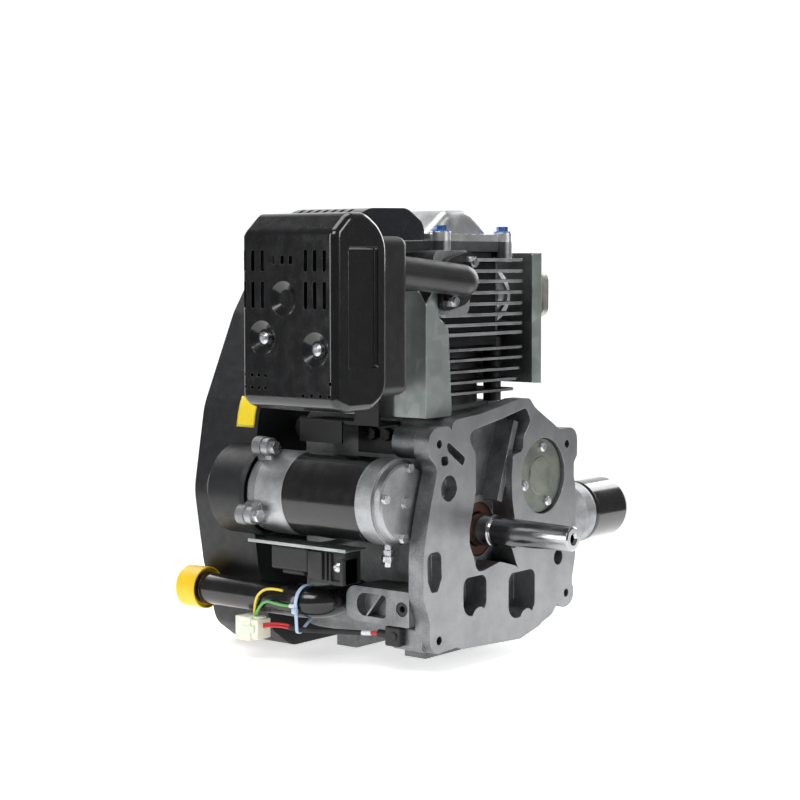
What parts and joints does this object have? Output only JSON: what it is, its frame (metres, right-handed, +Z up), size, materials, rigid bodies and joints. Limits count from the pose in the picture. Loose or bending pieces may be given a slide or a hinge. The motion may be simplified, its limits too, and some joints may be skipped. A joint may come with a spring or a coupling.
{
  "type": "small gasoline engine",
  "caption": "Air-cooled vertical-cylinder gasoline engine with a tapered horizontal output shaft, box muffler, electric starter and spin-on oil filter.",
  "frame": {"origin": "where the crankshaft axis crosses the face of the power take-off flange", "axes": "+Z up along the cylinder, -Y out along the output shaft, -X towards the muffler and starter"},
  "size_m": [0.518, 0.372, 0.4407],
  "materials": {
    "cast_aluminium": "satin as cast",
    "satin_aluminium": "satin",
    "pump_plate": "olive zinc plate",
    "steel": "ground",
    "zinc_steel": "bright zinc",
    "blue_zinc": "blue passivated",
    "galvanised": "galvanised",
    "cast_iron": "machined",
    "gasket": "matte",
    "seal_rubber": "satin",
    "black_enamel": "gloss enamel",
    "black_shroud": "semi-gloss",
    "black_plastic": "moulded",
    "zinc_casting": "die cast",
    "starter_cap": "die cast",
    "black_rubber": "matte",
    "air_horn": "gloss",
    "white_plastic": "moulded nylon",
    "yellow_plastic": "moulded",
    "ceramic": "glazed"
  },
  "bodies": {
    "root": {"crankcase_cover": "cast_aluminium", "oil_pump_cover": "pump_plate", "cylinder_block": "cast_aluminium", "cylinder_liner": "cast_iron", "head_gasket": "gasket", "cylinder_head": "cast_aluminium", "rocker_cover": "satin_aluminium", "rocker_cover_bolts": "blue_zinc", "main_bearings": "steel", "pto_oil_seal": "seal_rubber", "piston": "cast_aluminium", "piston_pin": "steel", "piston_rings": "steel", "connecting_rod": "steel", "exhaust_elbow": "black_enamel", "muffler_body": "black_enamel", "muffler_guard": "black_enamel", "muffler_bracket": "black_enamel", "exhaust_fasteners": "zinc_steel", "top_hood": "black_enamel", "left_air_duct": "galvanised", "right_air_duct": "galvanised", "blower_housing": "black_shroud", "blower_backplate": "black_shroud", "fan_screen": "zinc_steel", "case_bolts": "zinc_steel", "starter_end_cap": "starter_cap", "starter_tube": "black_enamel", "starter_drive_housing": "cast_aluminium", "starter_fasteners": "zinc_steel", "relay_bracket": "zinc_steel", "starter_relay": "black_plastic", "voltage_regulator": "black_plastic", "oil_filter_adapter": "cast_aluminium", "oil_filter": "black_enamel", "filler_tube": "black_enamel", "drain_plug": "black_plastic", "oil_sensor": "black_plastic", "sensor_lead": "black_rubber", "harness_connector": "white_plastic", "intake_manifold": "cast_aluminium", "carburettor_body": "zinc_casting", "float_bowl": "zinc_casting", "air_horn": "air_horn", "spark_plug": "ceramic", "plug_cap": "black_plastic", "ignition_coil": "black_plastic", "plug_lead": "black_rubber"},
    "crank": {"crankshaft": "steel", "crank_gear": "steel", "rod_big_end": "steel", "flywheel": "cast_iron", "cooling_fan": "black_plastic"},
    "cam": {"camshaft": "steel", "cam_gear": "steel"},
    "starter_rotor": {"starter_armature": "steel", "starter_pinion": "steel"},
    "throttle": {"throttle_lever": "zinc_casting"},
    "choke": {"choke_lever": "zinc_casting"},
    "dipstick": {"dipstick_cap": "yellow_plastic"}
  },
  "joints": [
    {"name": "crank_spin", "type": "hinge", "parent": "root", "child": "crank", "pos_m": [0, 0, 0], "axis": [0, 1, 0], "continuous": true},
    {"name": "cam_spin", "type": "hinge", "parent": "root", "child": "cam", "pos_m": [0.06, 0, 0.0398], "axis": [0, 1, 0], "continuous": true},
    {"name": "starter_spin", "type": "hinge", "parent": "root", "child": "starter_rotor", "pos_m": [-0.124, 0, 0.0385], "axis": [0, 1, 0], "continuous": true},
    {"name": "throttle_turn", "type": "hinge", "parent": "root", "child": "throttle", "pos_m": [0.122, 0.085, 0.229], "axis": [0, 0, -1], "range_deg": [0, 75]},
    {"name": "choke_turn", "type": "hinge", "parent": "root", "child": "choke", "pos_m": [0.152, 0.085, 0.229], "axis": [0, 0, -1], "range_deg": [0, 80]},
    {"name": "dipstick_pull", "type": "slide", "parent": "root", "child": "dipstick", "axis": [0, 1, 0], "range_m": [0, 0.13]}
  ],
  "couplings": [
    {"joint": "cam_spin", "follows": "crank_spin", "ratio": -0.5}
  ]
}
